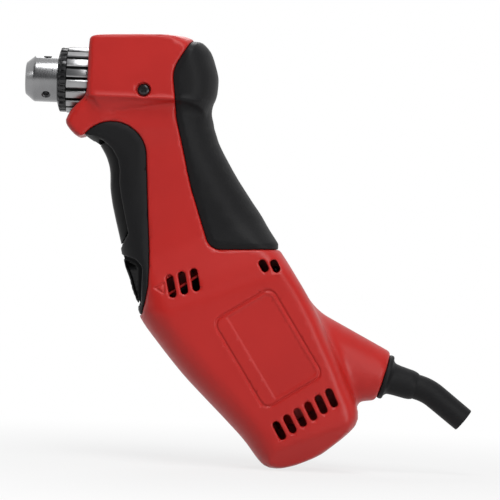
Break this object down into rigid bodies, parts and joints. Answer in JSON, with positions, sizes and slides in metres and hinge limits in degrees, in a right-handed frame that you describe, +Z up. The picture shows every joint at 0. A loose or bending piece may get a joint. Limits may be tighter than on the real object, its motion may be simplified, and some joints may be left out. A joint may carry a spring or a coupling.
{
  "type": "right angle drill",
  "caption": "Corded close-quarter drill: keyed chuck on an angled bevel-gear head, clamshell body with rubber grips, paddle trigger, reversing lever, vented motor case and cord boot.",
  "frame": {"origin": "centre of the chuck nose face, on the spindle axis", "axes": "+X along the spindle into the tool, +Z up towards the top of the head, +Y away from the viewer; the chuck points along -X"},
  "size_m": [0.28, 0.066, 0.2602],
  "materials": {
    "red_shell": "satin moulded",
    "black_rubber": "matte",
    "black_plastic": "satin",
    "dark_plastic": "matte",
    "pale_plastic": "matte",
    "die_casting": "as cast",
    "chuck_steel": "turned and polished",
    "dark_steel": "black oxide",
    "copper_wire": "copper wire and bars",
    "bronze": "sintered",
    "iron_sheet": "varnished stack",
    "carbon": "carbon block",
    "bright_steel": "ground"
  },
  "bodies": {
    "housing": {"housing_left": "red_shell", "housing_right": "red_shell", "front_grip_left": "black_rubber", "front_grip_right": "black_rubber", "rear_grip_left": "black_rubber", "rear_grip_right": "black_rubber", "housing_screws": "dark_steel", "gear_case": "die_casting", "gear_case_cover": "die_casting", "cover_screws": "dark_steel", "gear_case_screws": "dark_steel", "spindle_front_bearing": "bright_steel", "spindle_rear_bush": "bronze", "layshaft_bearing": "bright_steel", "layshaft_bush": "bronze", "bearing_plate": "die_casting", "armature_front_bearing": "bright_steel", "armature_rear_bearing": "bright_steel", "field_core": "iron_sheet", "field_coils": "copper_wire", "brush_card": "dark_plastic", "brush_holders": "bronze", "brushes": "carbon", "brush_springs": "bright_steel", "switch_body": "dark_plastic", "trigger_pin": "bright_steel", "cord_boot": "black_rubber"},
    "armature": {"armature_shaft": "bright_steel", "armature_core": "iron_sheet", "armature_windings": "copper_wire", "commutator": "copper_wire", "fan": "dark_plastic"},
    "layshaft": {"layshaft": "bright_steel", "first_stage_gear": "bright_steel"},
    "spindle": {"spindle": "bright_steel", "bevel_gear": "bright_steel", "spindle_ring": "bright_steel", "chuck_body": "chuck_steel", "chuck_screw": "dark_steel"},
    "sleeve": {"chuck_sleeve": "chuck_steel", "chuck_nut": "dark_steel"},
    "jaw_1": {"chuck_jaw_1": "dark_steel"},
    "jaw_2": {"chuck_jaw_2": "dark_steel"},
    "jaw_3": {"chuck_jaw_3": "dark_steel"},
    "trigger": {"trigger": "black_plastic"},
    "plunger": {"switch_plunger": "pale_plastic"},
    "lever": {"reversing_lever": "black_plastic", "lever_ring": "bright_steel"}
  },
  "joints": [
    {"name": "armature_spin", "type": "hinge", "parent": "housing", "child": "armature", "pos_m": [0.035, 0, 0], "axis": [0.5736, 0, -0.8192], "continuous": true},
    {"name": "layshaft_spin", "type": "hinge", "parent": "housing", "child": "layshaft", "pos_m": [0.05551, 0, 0], "axis": [0.5736, 0, -0.8192], "continuous": true},
    {"name": "spindle_spin", "type": "hinge", "parent": "housing", "child": "spindle", "pos_m": [0, 0, 0], "axis": [1, 0, 0], "continuous": true},
    {"name": "sleeve_turn", "type": "hinge", "parent": "spindle", "child": "sleeve", "pos_m": [0, 0, 0], "axis": [1, 0, 0], "range_deg": [0, 4387.5]},
    {"name": "jaw_1_slide", "type": "slide", "parent": "spindle", "child": "jaw_1", "axis": [-0.9703, -0.0667, 0.2325], "range_m": [0, 0.0195]},
    {"name": "jaw_2_slide", "type": "slide", "parent": "spindle", "child": "jaw_2", "axis": [-0.9703, -0.1681, -0.174], "range_m": [0, 0.0195]},
    {"name": "jaw_3_slide", "type": "slide", "parent": "spindle", "child": "jaw_3", "axis": [-0.9703, 0.2347, -0.0585], "range_m": [0, 0.0195]},
    {"name": "trigger_press", "type": "hinge", "parent": "housing", "child": "trigger", "pos_m": [0.07043, 0, -0.08635], "axis": [0, 1, 0], "range_deg": [0, 6], "stiffness_Nm_per_rad": 1.5, "springref_deg": -8.59},
    {"name": "plunger_press", "type": "slide", "parent": "housing", "child": "plunger", "axis": [0.9877, 0, 0.1564], "range_m": [0, 0.00311]},
    {"name": "lever_swing", "type": "hinge", "parent": "housing", "child": "lever", "pos_m": [0.07546, 0, -0.11419], "axis": [1, 0, 0], "range_deg": [-10, 10]}
  ],
  "couplings": [
    {"joint": "layshaft_spin", "follows": "armature_spin", "ratio": -0.23077},
    {"joint": "spindle_spin", "follows": "armature_spin", "ratio": 0.064904},
    {"joint": "jaw_1_slide", "follows": "sleeve_turn", "m_per_rad": 0.00025465},
    {"joint": "jaw_2_slide", "follows": "sleeve_turn", "m_per_rad": 0.00025465},
    {"joint": "jaw_3_slide", "follows": "sleeve_turn", "m_per_rad": 0.00025465},
    {"joint": "plunger_press", "follows": "trigger_press", "m_per_rad": 0.0297}
  ]
}
